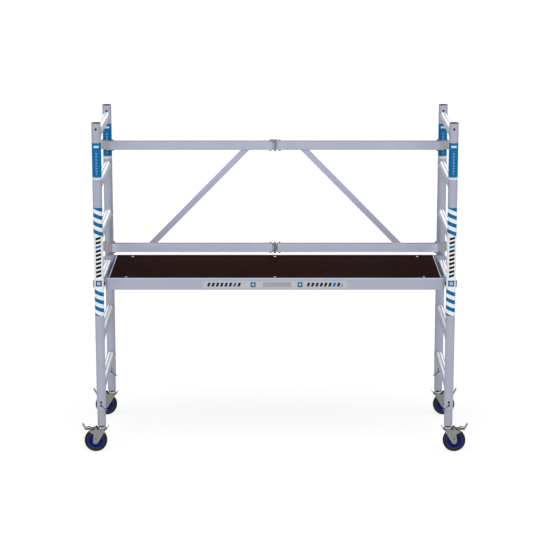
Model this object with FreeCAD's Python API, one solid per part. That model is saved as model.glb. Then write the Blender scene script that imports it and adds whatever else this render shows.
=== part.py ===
import FreeCAD, Part
import math
import os

# Folding room scaffold: two ladder end frames on casters, joined along the back by a
# folding guard panel, with a deck platform hooked over one rung of each frame.
# Millimetres. +X to the right, +Y to the back, +Z up, origin on the floor in the middle.

V = FreeCAD.Vector
X_AXIS = V(1, 0, 0)
Y_AXIS = V(0, 1, 0)
FULL_TURN = 360

# --- whole object ---
SPAN = 1900.0  # between the post axes, along X
DEPTH = 700.0  # between the post axes, along Y
GAP = 0.3  # least gap between parts that move past each other
RUNNING = 0.05  # radial clearance of a shaft in its hole

# --- end frames ---
POST_R = 25.0
POST_WALL = 2.0
POST_Z = (240.0, 1818.0)
CAP_THICK = 1.5
CAP_PLUG_DEEP = 18.0
CAP_PLUG_CLEAR = 0.1
RUNG_R = 24.0
RUNG_WALL = 2.0
RUNG_FIRST_Z = 360.0
RUNG_STEP = 279.0
RUNG_COUNT = 6
SPARE_HOLE_R = 4.5
SPARE_HOLES_Z = (283.0, 1787.0)  # height setting hole, and the stacking hole at the top

# --- caster legs and their locking clips ---
LEG_R = 22.8
LEG_WALL = 3.0
LEG_Z = (149.0, 330.0)
CLIP_Z = 266.0
CLIP_PIN_R = 4.0
CLIP_PIN_Y = (-31.0, 28.0)
CLIP_HEAD_R = 6.5
CLIP_HEAD_THICK = 3.0
CLIP_WIRE_R = 2.0
# The wire's route from the pin's head round the inner side of the post:
# (towards the middle, towards the back, up), from the pin's middle.
CLIP_WIRE = (
    (0.0, -32.0, 0.0),
    (12.0, -32.5, -9.0),
    (25.0, -28.0, -21.0),
    (29.5, -14.0, -30.0),
    (29.5, 8.0, -34.0),
    (27.5, 13.0, -34.0),
)

# --- casters ---
WHEEL_R = 62.5
TRAIL = 34.0  # axle's offset from the post axis
TYRE_WIDE = 34.0
TYRE_SHOULDER = 7.0
HUB_R = 48.0
HUB_RIM_R = 41.0
HUB_RIM_WIDE = 31.0
HUB_WEB_WIDE = 9.0
HUB_BOSS_R = 15.0
HUB_BOSS_WIDE = 41.0
AXLE_R = 5.0
AXLE_HEAD_R = 8.5
AXLE_HEAD_THICK = 5.0
CHEEK_IN = 21.0  # from the wheel's middle plane to the cheek
CHEEK_THICK = 3.0
CHEEK_END_R = 15.0
CHEEK_END_DROP = 2.0  # the rounded end's centre below the axle
CHEEK_HOLE = (2.4, 11.5)  # radius, and height above the axle
CROWN_U = (-24.0, 12.0)
CROWN_Z = (123.5, 127.5)
# Cheek corners: (outwards from the post axis, up from the floor).
CHEEK = (
    (21.0, 53.0),
    (48.9, 62.2),
    (44.5, 100.0),
    (69.0, 115.0),
    (69.0, 120.0),
    (40.0, CROWN_Z[1]),
    (CROWN_U[0], CROWN_Z[1]),
)
TAB_WIDE = 20.0
TAB = ((-24.0, 123.5), (-24.0, 127.5), (-36.5, 147.5), (-39.0, 146.0), (-26.0, 123.5))
PEDAL_PIVOT = (32.0, 131.0)
PEDAL_EAR_R = 7.0
PEDAL_HUB_R = 4.0
PEDAL_PIN_R = 2.5
PEDAL_WIDE = 36.0
# Foot plate and the smaller release lever above it: (outwards, up), as above.
FOOT_PLATE = (
    (32.0, 128.8), (50.0, 128.0), (63.0, 124.5), (89.5, 123.0), (107.0, 155.5),
    (104.3, 157.0), (87.5, 126.0), (64.0, 127.5), (51.0, 131.0), (32.0, 132.5),
)
RELEASE_WIDE = 16.0
RELEASE_LEVER = (
    (32.0, 132.0), (52.0, 131.5), (60.0, 132.0), (68.0, 137.0), (76.0, 137.5),
    (85.0, 134.5), (85.6, 136.4), (76.0, 139.5), (67.0, 139.0), (59.0, 134.0),
    (52.0, 133.5), (32.0, 134.8),
)
HEAD_FLANGE_R = 24.0
HEAD_FLANGE_Z = (134.5, 137.0)
HEAD_CONE_R = (13.0, 20.0)
HEAD_CONE_Z = 128.3
HEAD_SPIGOT_TOP = 177.0
HEAD_NUT = (9.0, 7.0)  # radius and height of the nut on the flange
HEAD_STEM_R = 5.0
HEAD_STUD_R = 3.2
HEAD_STUD_REACH = 16.0  # each side of the stem, along X
KINGPIN_R = 6.0
KINGPIN_HEAD_R = 8.0
KINGPIN_HEAD_Z = (120.7, 123.1)

# --- folding guard panel along the back ---
RAIL_Y = (297.0, 322.0)
RAIL_TALL = 50.0
RAIL_WALL = 2.0
RAIL_BASES = {"lower": 979.0, "upper": 1569.0}
RAIL_X = (16.0, 928.0)
TONGUE_LONG = 38.0
TONGUE_CLEAR = 0.1
RAIL_BOLTS_X = (26.0, 917.0)
BOLT_R = 4.0
BOLT_HEAD = (6.5, 7.0)  # radius and height of the head below the rail
BOLT_NUT = (6.0, 5.0)
BOLT_TIP = (3.0, 9.0)
COLLAR_R = 33.0
COLLAR_LUG_END = 950.0
DIAGONAL_FOOT_X = 698.0
DIAGONAL_HEAD_X = 167.0
DIAGONAL_WIDE = 32.0
DIAGONAL_THICK = 20.0
KNUCKLE_R = 8.0
KNUCKLE_TALL = 12.0
HINGE_BLOCK_X = (9.5, 16.0)
HINGE_NECK_THICK = 9.0
HINGE_PIN_R = 4.0
HINGE_PIN_HEAD = (6.0, 7.0)
HINGE_PIN_OUT = 5.0
CATCH_X = (4.0, 13.0)
CATCH_FOOT = 2.0  # how far the catch goes down into its casting
LUG_X = (-28.0, -9.5)
LUG_DEEP = 6.0
LUG_TALL = 10.0
STUD = (8.5, 5.5)  # X, and height above the rail
STUD_R = 3.0
STUD_OUT = 7.0
LATCH_PIVOT = (-22.0, 6.0)  # X, and height above the rail
LATCH_RIVET_R = 2.5
LATCH_RIVET_HEAD = (4.5, 2.0)
LATCH_EYE_R = 6.0
LATCH_THICK = 3.5
LATCH_END_X = 15.0
LATCH_Z = (2.0, 11.0)
LATCH_NOTCH_R = 4.5

# --- platform ---
BEAM_END_X = 912.0
BEAM_Y = (258.5, 293.5)
BEAM_Z = (896.0, 963.0)
BEAM_WALL = 2.5
BEAM_CHAMFER = 14.0
DECK_Z = (948.5, 960.5)
DECK_END_X = 900.0
LIP_WIDE = 9.0
TRIM_THICK = 4.0
TRIM_TOP = 961.5
END_BEAM_X = (879.0, 919.0)
END_BEAM_BASE = 898.5
CROSS_BAR_PITCH = 450.0
CROSS_BAR_WIDE = 30.0
CROSS_BAR_TALL = 40.0
CLAW_Y = (260.0, 292.0)
CLAW_PLAY = 4.5  # each side of the rung
CLAW_RUNG = 2  # the third rung from the floor carries the platform
CLAW_FILLET = 12.0
CLAW_TOP = 965.0
CLAW_SHOULDER = 22.0  # the cut at the top of its lip
CLAW_LIP_X = 989.0
CLAW_LIP_Z = 908.0
RIVET_X = 810.0
RIVET_Y = 265.0
RIVET_HEAD = (7.0, 2.5)
RIVET_SHANK_R = 2.5

END_X = SPAN / 2
CORNERS_Y = {"front": -DEPTH / 2, "rear": DEPTH / 2}
RAIL_MID_Y = sum(RAIL_Y) / 2
RUNG_ZS = [RUNG_FIRST_Z + RUNG_STEP * i for i in range(RUNG_COUNT)]


# --- shape helpers ---
def block(x, y, z):
    """A box from three (low, high) pairs."""
    return Part.makeBox(x[1] - x[0], y[1] - y[0], z[1] - z[0], V(x[0], y[0], z[0]))


def rod(radius, start, end):
    run = end.sub(start)
    return Part.makeCylinder(radius, run.Length, start, run)


def upright(radius, x, y, z):
    return rod(radius, V(x, y, z[0]), V(x, y, z[1]))


def crosswise(radius, x, y, z):
    """A rod along Y, from y[0] to y[1]."""
    return rod(radius, V(x, y[0], z), V(x, y[1], z))


def plate(outline, y):
    """A flat plate drawn in X and Z, from y[0] to y[1]."""
    points = [V(px, y[0], pz) for px, pz in outline]
    face = Part.Face(Part.makePolygon(points + points[:1]))
    return face.extrude(V(0, y[1] - y[0], 0))


def bar(outline, x):
    """A bar along X whose section is drawn in Y and Z."""
    points = [V(x[0], py, pz) for py, pz in outline]
    face = Part.Face(Part.makePolygon(points + points[:1]))
    return face.extrude(V(x[1] - x[0], 0, 0))


def joined(pieces):
    whole = pieces[0].multiFuse(pieces[1:])
    return whole.removeSplitter()


def grown(pair, amount):
    return (pair[0] - amount, pair[1] + amount)


def hexagon_nut(radius, x, y, z):
    """A hexagonal prism, upright, with its corners at radius."""
    turns = [math.radians(FULL_TURN / 6 * i) for i in range(6)]
    points = [V(x + radius * math.cos(t), y + radius * math.sin(t), z[0]) for t in turns]
    face = Part.Face(Part.makePolygon(points + points[:1]))
    return face.extrude(V(0, 0, z[1] - z[0]))


def edges_where(shape, test):
    return [edge for edge in shape.Edges if test(edge)]


def is_circle_of(radius):
    def test(edge):
        return edge.Curve.TypeId == "Part::GeomCircle" and abs(edge.Curve.Radius - radius) < GAP
    return test


def mirrored_x(piece):
    return piece.mirror(V(0, 0, 0), X_AXIS)


def mirrored_y(piece):
    return piece.mirror(V(0, 0, 0), Y_AXIS)


def save(node, pieces):
    shape = pieces[0] if len(pieces) == 1 else Part.makeCompound(pieces)
    shape.exportStep(f"parts/{node}.step")


def save_side(side, node, pieces):
    """Pieces are drawn on the right; the left side is their mirror image."""
    save(f"{side}_{node}", [mirrored_x(p) for p in pieces] if side == "left" else pieces)


# --- end frames ---
def post(y):
    outside = upright(POST_R, END_X, y, POST_Z)
    inside = upright(POST_R - POST_WALL, END_X, y, POST_Z)
    across = grown((y, y), POST_R + GAP)
    holes = [crosswise(SPARE_HOLE_R, END_X, across, z) for z in SPARE_HOLES_Z]
    holes.append(crosswise(CLIP_PIN_R + RUNNING, END_X, across, CLIP_Z))
    return outside.cut([inside] + holes)


def rung(z):
    reach = grown((0, 0), DEPTH / 2)
    outside = crosswise(RUNG_R, END_X, reach, z)
    inside = crosswise(RUNG_R - RUNG_WALL, END_X, reach, z)
    around = grown((z, z), POST_R)
    posts = [upright(POST_R, END_X, y, around) for y in CORNERS_Y.values()]
    return outside.cut([inside] + posts)


def cap(y):
    top = POST_Z[1]
    lid = upright(POST_R, END_X, y, (top, top + CAP_THICK))
    lid = lid.makeChamfer(0.5, edges_where(lid, lambda e: e.BoundBox.ZMin > top + 0.1))
    plug_r = POST_R - POST_WALL - CAP_PLUG_CLEAR
    return lid.fuse(upright(plug_r, END_X, y, (top - CAP_PLUG_DEEP, top))).removeSplitter()


def leg(y):
    outside = upright(LEG_R, END_X, y, LEG_Z)
    inside = upright(LEG_R - LEG_WALL, END_X, y, LEG_Z)
    across = grown((y, y), POST_R)
    holes = [
        crosswise(SPARE_HOLE_R, END_X, across, SPARE_HOLES_Z[0]),
        crosswise(CLIP_PIN_R + RUNNING, END_X, across, CLIP_Z),
    ]
    return outside.cut([inside] + holes)


def locking_clip(y):
    """A cross pin with a spring wire that snaps round the inner side of the post."""
    pin_y = [y + reach for reach in CLIP_PIN_Y]
    pin = crosswise(CLIP_PIN_R, END_X, pin_y, CLIP_Z)
    head = crosswise(CLIP_HEAD_R, END_X, (pin_y[0], pin_y[0] + CLIP_HEAD_THICK), CLIP_Z)
    route = [V(END_X - inward, y + back, CLIP_Z + up) for inward, back, up in CLIP_WIRE]
    wire = [rod(CLIP_WIRE_R, a, b) for a, b in zip(route, route[1:])]
    bends = [Part.makeSphere(CLIP_WIRE_R, point) for point in route]
    return joined([pin, head] + wire + bends)


# --- casters ---
def swivel_head(y):
    """Kingpin, bearing cone and flange, with a nut and studs up to the leg's plug."""
    cone = Part.makeCone(
        HEAD_CONE_R[0], HEAD_CONE_R[1], HEAD_FLANGE_Z[0] - HEAD_CONE_Z, V(END_X, y, HEAD_CONE_Z)
    )
    flange_top = HEAD_FLANGE_Z[1]
    studs = [
        upright(HEAD_STUD_R, END_X + reach, y, (flange_top, LEG_Z[0]))
        for reach in (-HEAD_STUD_REACH, HEAD_STUD_REACH)
    ]
    return joined(studs + [
        upright(LEG_R - LEG_WALL, END_X, y, (LEG_Z[0], HEAD_SPIGOT_TOP)),
        upright(HEAD_STEM_R, END_X, y, (flange_top, LEG_Z[0])),
        hexagon_nut(HEAD_NUT[0], END_X, y, (flange_top, flange_top + HEAD_NUT[1])),
        upright(HEAD_FLANGE_R, END_X, y, HEAD_FLANGE_Z),
        cone,
        upright(KINGPIN_R, END_X, y, (KINGPIN_HEAD_Z[0], HEAD_CONE_Z)),
        upright(KINGPIN_HEAD_R, END_X, y, KINGPIN_HEAD_Z),
    ])


def outwards(outline):
    """Move an outline given from the post axis to its place."""
    return [(END_X + u, z) for u, z in outline]


def cheek(y):
    end = crosswise(CHEEK_END_R, END_X + TRAIL, y, WHEEL_R - CHEEK_END_DROP)
    ear = crosswise(PEDAL_EAR_R, END_X + PEDAL_PIVOT[0], y, PEDAL_PIVOT[1])
    return joined([plate(outwards(CHEEK), y), end, ear])


def fork(y):
    inner, outer = CHEEK_IN, CHEEK_IN + CHEEK_THICK
    crown_x = (END_X + CROWN_U[0], END_X + CROWN_U[1])
    body = joined([
        block(crown_x, grown((y, y), outer), CROWN_Z),
        cheek((y - outer, y - inner)),
        cheek((y + inner, y + outer)),
        plate(outwards(TAB), grown((y, y), TAB_WIDE / 2)),
    ])
    across = grown((y, y), outer)
    return body.cut([
        upright(KINGPIN_R + RUNNING, END_X, y, CROWN_Z),
        crosswise(AXLE_R, END_X + TRAIL, across, WHEEL_R),
        crosswise(CHEEK_HOLE[0], END_X + TRAIL, across, WHEEL_R + CHEEK_HOLE[1]),
        crosswise(PEDAL_PIN_R + RUNNING, END_X + PEDAL_PIVOT[0], across, PEDAL_PIVOT[1]),
    ])


def pedal(y):
    x, z = END_X + PEDAL_PIVOT[0], PEDAL_PIVOT[1]
    inner, outer = CHEEK_IN - GAP, CHEEK_IN + CHEEK_THICK
    return joined([
        crosswise(PEDAL_HUB_R, x, grown((y, y), inner), z),
        crosswise(PEDAL_PIN_R, x, grown((y, y), outer), z),
        plate(outwards(FOOT_PLATE), grown((y, y), PEDAL_WIDE / 2)),
        plate(outwards(RELEASE_LEVER), grown((y, y), RELEASE_WIDE / 2)),
    ])


def axle(y):
    """Axle bolt with its head, and the nut on its other end as a second solid."""
    x, outer = END_X + TRAIL, CHEEK_IN + CHEEK_THICK
    reach = outer + AXLE_HEAD_THICK
    shaft = crosswise(AXLE_R, x, (y - outer, y + reach), WHEEL_R)
    head = crosswise(AXLE_HEAD_R, x, (y - reach, y - outer), WHEEL_R)
    head = head.makeChamfer(1.2, edges_where(head, lambda e: e.BoundBox.YMax < y - reach + 1))
    nut = hexagon_nut(AXLE_HEAD_R, 0, 0, (outer, reach))
    nut.rotate(V(0, 0, 0), X_AXIS, -FULL_TURN / 4)
    nut.translate(V(x, y, WHEEL_R))
    return [shaft.fuse(head).removeSplitter(), nut.cut(shaft)]


def hub(y):
    boss, rim, web = HUB_BOSS_WIDE / 2, HUB_RIM_WIDE / 2, HUB_WEB_WIDE / 2
    bore = AXLE_R + RUNNING
    half = [
        (bore, boss), (HUB_BOSS_R, boss), (HUB_BOSS_R + 2, web),
        (HUB_RIM_R - 2, web), (HUB_RIM_R, rim), (HUB_R, rim),
    ]
    outline = half + [(r, -v) for r, v in reversed(half)]
    points = [V(r, v, 0) for r, v in outline]
    face = Part.Face(Part.makePolygon(points + points[:1]))
    turned = face.revolve(V(0, 0, 0), Y_AXIS, FULL_TURN)
    turned.translate(V(END_X + TRAIL, y, WHEEL_R))
    return turned


def tyre(y):
    wide = grown((y, y), TYRE_WIDE / 2)
    outside = crosswise(WHEEL_R, END_X + TRAIL, wide, WHEEL_R)
    outside = outside.makeFillet(TYRE_SHOULDER, edges_where(outside, is_circle_of(WHEEL_R)))
    return outside.cut(crosswise(HUB_R, END_X + TRAIL, wide, WHEEL_R))


# --- folding guard panel ---
def rail(base):
    z = (base, base + RAIL_TALL)
    outside = block(RAIL_X, RAIL_Y, z)
    corners = edges_where(outside, lambda e: abs(e.Length - (RAIL_X[1] - RAIL_X[0])) < GAP)
    outside = outside.makeFillet(RAIL_WALL, corners)
    inside = block(RAIL_X, grown(RAIL_Y, -RAIL_WALL), grown(z, -RAIL_WALL))
    holes = [upright(BOLT_R + RUNNING, x, RAIL_MID_Y, z) for x in RAIL_BOLTS_X]
    return outside.cut([inside] + holes)


def tongue(x, base):
    """The part of a casting that slides into the end of a rail."""
    inset = -RAIL_WALL - TONGUE_CLEAR
    return block(x, grown(RAIL_Y, inset), grown((base, base + RAIL_TALL), inset))


def rail_bolt(x, base):
    """A bolt down through the rail end, and its nut on top as a second solid."""
    top = base + RAIL_TALL
    shank = upright(BOLT_R, x, RAIL_MID_Y, (base, top + BOLT_NUT[1]))
    tip = Part.makeCone(
        BOLT_R, BOLT_TIP[0], BOLT_TIP[1] - BOLT_NUT[1], V(x, RAIL_MID_Y, top + BOLT_NUT[1])
    )
    head = upright(BOLT_HEAD[0], x, RAIL_MID_Y, (base - BOLT_HEAD[1], base))
    head = head.makeFillet(2.5, edges_where(head, lambda e: e.BoundBox.ZMax < base - 1))
    nut = hexagon_nut(BOLT_NUT[0], x, RAIL_MID_Y, (top, top + BOLT_NUT[1]))
    return [joined([shank, tip, head]), nut.cut(shank)]


def rail_bolts():
    return [piece for x in RAIL_BOLTS_X for base in RAIL_BASES.values()
            for piece in rail_bolt(x, base)]


def collar(base):
    """A casting that turns round the rear post and carries the rail's end."""
    y, z = CORNERS_Y["rear"], (base, base + RAIL_TALL)
    ring = upright(COLLAR_R, END_X, y, z)
    face = block(grown((END_X, END_X), COLLAR_R), (RAIL_Y[1], y), z)
    lug = block((RAIL_X[1], COLLAR_LUG_END), RAIL_Y, z)
    into_rail = tongue((RAIL_X[1] - TONGUE_LONG, RAIL_X[1]), base)
    casting = joined([ring, face, lug, into_rail])
    bolt_hole = upright(BOLT_R + RUNNING, RAIL_BOLTS_X[1], RAIL_MID_Y, z)
    return casting.cut([upright(POST_R + RUNNING, END_X, y, z), bolt_hole])


def diagonal():
    foot_z = RAIL_BASES["lower"] + RAIL_TALL
    head_z = RAIL_BASES["upper"]
    slope = math.atan2(head_z - foot_z, DIAGONAL_FOOT_X - DIAGONAL_HEAD_X)

    def parallelogram(width):
        half = width / 2 / math.sin(slope)
        return [
            (DIAGONAL_FOOT_X - half, foot_z), (DIAGONAL_FOOT_X + half, foot_z),
            (DIAGONAL_HEAD_X + half, head_z), (DIAGONAL_HEAD_X - half, head_z),
        ]

    depth = grown((RAIL_MID_Y, RAIL_MID_Y), DIAGONAL_THICK / 2)
    outside = plate(parallelogram(DIAGONAL_WIDE), depth)
    hollow = plate(parallelogram(DIAGONAL_WIDE - 2 * RAIL_WALL), grown(depth, -RAIL_WALL))
    return outside.cut(hollow)


def knuckle(z):
    barrel = upright(KNUCKLE_R, 0, RAIL_MID_Y, z)
    neck_y = grown((RAIL_MID_Y, RAIL_MID_Y), HINGE_NECK_THICK / 2)
    neck = block((0, HINGE_BLOCK_X[0]), neck_y, z)
    return barrel.fuse(neck)


def hinge_casting(base, knuckles):
    z = (base, base + RAIL_TALL)
    body = joined([
        block(HINGE_BLOCK_X, RAIL_Y, z),
        tongue((RAIL_X[0], RAIL_X[0] + TONGUE_LONG), base),
    ] + [knuckle(k) for k in knuckles])
    return body.cut([
        upright(HINGE_PIN_R + RUNNING, 0, RAIL_MID_Y, z),
        upright(BOLT_R + RUNNING, RAIL_BOLTS_X[0], RAIL_MID_Y, z),
    ])


def middle_hinge_half(base):
    """The right-hand casting, with one knuckle between the other casting's two."""
    top = base + RAIL_TALL
    step = KNUCKLE_TALL + GAP
    return hinge_casting(base, [(base + step, top - step)])


def outer_hinge_half(base):
    """The left-hand casting, drawn on the right and mirrored."""
    top = base + RAIL_TALL
    ends = [(base, base + KNUCKLE_TALL), (top - KNUCKLE_TALL, top)]
    return mirrored_x(hinge_casting(base, ends))


def catch():
    """The raised catch and stud that the latch hooks over, on the right upper casting."""
    top = RAIL_BASES["upper"] + RAIL_TALL
    outline = [
        (HINGE_BLOCK_X[0], top - CATCH_FOOT), (HINGE_BLOCK_X[0], top + 2 * GAP),
        (CATCH_X[0], top + 2 * GAP), (CATCH_X[0], top + LUG_TALL),
        (CATCH_X[1], top + LUG_TALL), (CATCH_X[1], top - CATCH_FOOT),
    ]
    stud_y = (RAIL_Y[0] - STUD_OUT, RAIL_Y[0])
    raised = plate(outline, (RAIL_Y[0], RAIL_Y[0] + LUG_DEEP))
    return [raised, crosswise(STUD_R, STUD[0], stud_y, top + STUD[1])]


def latch_lug():
    """The raised lug that carries the latch's rivet, on the left upper casting."""
    top = RAIL_BASES["upper"] + RAIL_TALL
    return block(LUG_X, (RAIL_Y[0], RAIL_Y[0] + LUG_DEEP), (top, top + LUG_TALL))


def hinge_pin(base):
    top = base + RAIL_TALL
    shank = upright(HINGE_PIN_R, 0, RAIL_MID_Y, (base - HINGE_PIN_OUT, top))
    head = upright(HINGE_PIN_HEAD[0], 0, RAIL_MID_Y, (top, top + HINGE_PIN_HEAD[1]))
    head = head.makeFillet(2.5, edges_where(head, lambda e: e.BoundBox.ZMin > top + 1))
    foot = upright(HINGE_PIN_HEAD[0], 0, RAIL_MID_Y, (base - HINGE_PIN_OUT - BOLT_R, base - GAP))
    foot = foot.makeFillet(2.5, edges_where(foot, lambda e: e.BoundBox.ZMax < base - 2))
    return joined([shank, head, foot])


def latch():
    """The hook that locks the upper rail open."""
    top = RAIL_BASES["upper"] + RAIL_TALL
    back = RAIL_Y[0] - GAP
    depth = (back - LATCH_THICK, back)
    pivot_x, pivot_z = LATCH_PIVOT[0], top + LATCH_PIVOT[1]
    arm_z = (top + LATCH_Z[0], top + LATCH_Z[1])
    body = joined([
        crosswise(LATCH_EYE_R, pivot_x, depth, pivot_z),
        block((pivot_x, LATCH_END_X), depth, arm_z),
    ])
    stud_z = top + STUD[1]
    mouth = block(grown((STUD[0], STUD[0]), LATCH_NOTCH_R), depth, (top, stud_z))
    return body.cut([
        crosswise(LATCH_RIVET_R + RUNNING, pivot_x, depth, pivot_z),
        crosswise(LATCH_NOTCH_R, STUD[0], depth, stud_z),
        mouth,
    ])


def latch_rivet():
    x, z = LATCH_PIVOT[0], RAIL_BASES["upper"] + RAIL_TALL + LATCH_PIVOT[1]
    under_head = RAIL_Y[0] - LATCH_THICK - 2 * GAP
    head = crosswise(LATCH_RIVET_HEAD[0], x, (under_head - LATCH_RIVET_HEAD[1], under_head), z)
    return head.fuse(crosswise(LATCH_RIVET_R, x, (under_head, RAIL_Y[0]), z)).removeSplitter()


# --- platform ---
def side_beam():
    """The back beam: a hollow box with a ledge for the deck and a lip along its edge."""
    y, z = BEAM_Y, BEAM_Z
    lip_in = y[1] - LIP_WIDE
    section = [
        (y[0], z[0]), (y[1], z[0]), (y[1], z[1]),
        (lip_in, z[1]), (lip_in, DECK_Z[0]), (y[0], DECK_Z[0]),
    ]
    hollow_z = (z[0] + BEAM_WALL, DECK_Z[0] - BEAM_WALL)
    reach = grown((0, 0), BEAM_END_X)
    hollow = block(reach, grown(y, -BEAM_WALL), hollow_z)
    holes = [upright(RIVET_SHANK_R, x, RIVET_Y, (hollow_z[1], DECK_Z[0])) for x in rivet_xs()]
    return bar(section, reach).cut([hollow] + holes)


def rivet_xs():
    return (-RIVET_X, 0, RIVET_X)


def deck():
    edge = BEAM_Y[1] - LIP_WIDE
    board = block(grown((0, 0), DECK_END_X), grown((0, 0), edge), DECK_Z)
    return board.cut([deck_rivet(x, y) for x in rivet_xs() for y in (-RIVET_Y, RIVET_Y)])


def deck_rivet(x, y):
    """A countersunk rivet, flush with the top of the deck."""
    low = DECK_Z[1] - RIVET_HEAD[1]
    head = Part.makeCone(RIVET_SHANK_R, RIVET_HEAD[0], RIVET_HEAD[1], V(x, y, low))
    shank = upright(RIVET_SHANK_R, x, y, (DECK_Z[0] - BEAM_WALL, low))
    return head.fuse(shank).removeSplitter()


def box_tube(x, base, wall):
    """A cross member between the side beams, its top level with their ledges."""
    y, z = grown((0, 0), BEAM_Y[0]), (base, DECK_Z[0])
    return block(x, y, z).cut(block(grown(x, -wall), y, grown(z, -wall)))


def deck_end_trim():
    lip_in = BEAM_Y[1] - LIP_WIDE
    x = (DECK_END_X, DECK_END_X + TRIM_THICK)
    return block(x, grown((0, 0), lip_in), (DECK_Z[0], TRIM_TOP))


def claw():
    """The back right hook, welded to the side beam's end and resting over the rung."""
    rung_z = RUNG_ZS[CLAW_RUNG]
    slot_x = grown((END_X, END_X), RUNG_R + CLAW_PLAY)
    slot_top = rung_z + RUNG_R + GAP
    root, low = BEAM_END_X, BEAM_Z[0]
    outline = [
        (root, low), (root + BEAM_CHAMFER / 2, low), (slot_x[0], low + BEAM_CHAMFER),
        (slot_x[0], rung_z), (slot_x[1], rung_z), (slot_x[1], CLAW_LIP_Z),
        (CLAW_LIP_X - BEAM_CHAMFER / 2, CLAW_LIP_Z), (CLAW_LIP_X, CLAW_LIP_Z + BEAM_CHAMFER / 2),
        (CLAW_LIP_X, CLAW_TOP - CLAW_SHOULDER), (CLAW_LIP_X - CLAW_SHOULDER, CLAW_TOP),
        (root, CLAW_TOP),
    ]
    slot = block(slot_x, CLAW_Y, (low, slot_top))
    corners = edges_where(slot, lambda e: e.BoundBox.ZMin > slot_top - 1 and e.BoundBox.XLength < 1)
    return plate(outline, CLAW_Y).cut(slot.makeFillet(CLAW_FILLET, corners))


# --- write every node ---
def write_end_frame(side):
    ys = list(CORNERS_Y.values())
    for corner, y in CORNERS_Y.items():
        save_side(side, f"{corner}_post", [post(y)])
    save_side(side, "rungs", [rung(z) for z in RUNG_ZS])
    save_side(side, "post_caps", [cap(y) for y in ys])
    save_side(side, "caster_legs", [leg(y) for y in ys])


def write_corner(side, corner, y):
    save_side(side, f"{corner}_locking_clip", [locking_clip(y)])
    save_side(side, f"{corner}_swivel_head", [swivel_head(y)])
    save_side(side, f"{corner}_fork", [fork(y)])
    save_side(side, f"{corner}_brake_pedal", [pedal(y)])
    save_side(side, f"{corner}_axle", axle(y))
    save_side(side, f"{corner}_wheel_hub", [hub(y)])
    save_side(side, f"{corner}_tyre", [tyre(y)])


def write_panel_half(side):
    for level, base in RAIL_BASES.items():
        save_side(side, f"{level}_rail", [rail(base)])
    save_side(side, "diagonal_brace", [diagonal()])
    save_side(side, "post_collars", [collar(base) for base in RAIL_BASES.values()])
    rivet = [mirrored_x(latch_rivet())] if side == "left" else []
    save_side(side, "rail_fasteners", rail_bolts() + rivet)


def write_middle_hinge():
    lower, upper = RAIL_BASES["lower"], RAIL_BASES["upper"]
    with_lug = joined([outer_hinge_half(upper), latch_lug()])
    with_catch = joined([middle_hinge_half(upper)] + catch())
    save("left_middle_hinge", [outer_hinge_half(lower), with_lug])
    save("right_middle_hinge", [middle_hinge_half(lower), with_catch])
    save("middle_hinge_pins", [hinge_pin(lower), hinge_pin(upper)])
    save("upper_rail_latch", [latch()])


def write_platform():
    beam = side_beam()
    save("platform_rear_beam", [beam])
    save("platform_front_beam", [mirrored_y(beam)])
    save("platform_deck", [deck()])
    trim = deck_end_trim()
    save("deck_end_trims", [trim, mirrored_x(trim)])
    end = box_tube(END_BEAM_X, END_BEAM_BASE, BEAM_WALL)
    save("platform_end_beams", [end, mirrored_x(end)])
    half = CROSS_BAR_WIDE / 2
    bars = [
        box_tube((x - half, x + half), DECK_Z[0] - CROSS_BAR_TALL, POST_WALL)
        for x in (-CROSS_BAR_PITCH, 0, CROSS_BAR_PITCH)
    ]
    save("platform_cross_bars", bars)
    hook = claw()
    hooks = [hook, mirrored_x(hook), mirrored_y(hook), mirrored_x(mirrored_y(hook))]
    save("platform_claws", hooks)
    save("deck_rivets", [deck_rivet(x, y) for x in rivet_xs() for y in (-RIVET_Y, RIVET_Y)])


def main():
    os.makedirs("parts", exist_ok=True)
    for side in ("left", "right"):
        write_end_frame(side)
        write_panel_half(side)
        for corner, y in CORNERS_Y.items():
            write_corner(side, corner, y)
    write_middle_hinge()
    write_platform()


main()
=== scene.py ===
import math
import random

import bmesh
import bpy
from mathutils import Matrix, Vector


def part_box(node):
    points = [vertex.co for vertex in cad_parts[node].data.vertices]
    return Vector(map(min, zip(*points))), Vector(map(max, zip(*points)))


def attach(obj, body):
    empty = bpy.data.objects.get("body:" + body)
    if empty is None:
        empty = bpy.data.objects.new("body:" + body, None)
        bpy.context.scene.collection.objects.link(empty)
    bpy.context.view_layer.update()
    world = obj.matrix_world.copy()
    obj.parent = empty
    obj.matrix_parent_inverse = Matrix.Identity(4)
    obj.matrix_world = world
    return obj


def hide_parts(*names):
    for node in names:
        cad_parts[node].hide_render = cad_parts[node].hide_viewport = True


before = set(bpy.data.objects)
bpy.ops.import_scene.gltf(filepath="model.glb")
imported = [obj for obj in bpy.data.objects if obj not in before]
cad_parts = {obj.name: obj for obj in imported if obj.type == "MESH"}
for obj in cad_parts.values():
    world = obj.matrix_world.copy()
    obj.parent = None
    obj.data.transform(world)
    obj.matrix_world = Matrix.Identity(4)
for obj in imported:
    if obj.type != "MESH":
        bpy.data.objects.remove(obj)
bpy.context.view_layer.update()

# Looks for a folding room scaffold. Metres, +X right, +Y back, +Z up, floor at zero.

SIDES = ("left", "right")
CORNERS = ("front", "rear")
RANDOM = random.Random(7)

# --- camera ---
CAMERA_DISTANCE = 10.9128
CAMERA_HEIGHT = 3.3783
CAMERA_PITCH = math.radians(12.734)
CAMERA_LENS = 131.363  # for a 36 mm wide sensor

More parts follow.
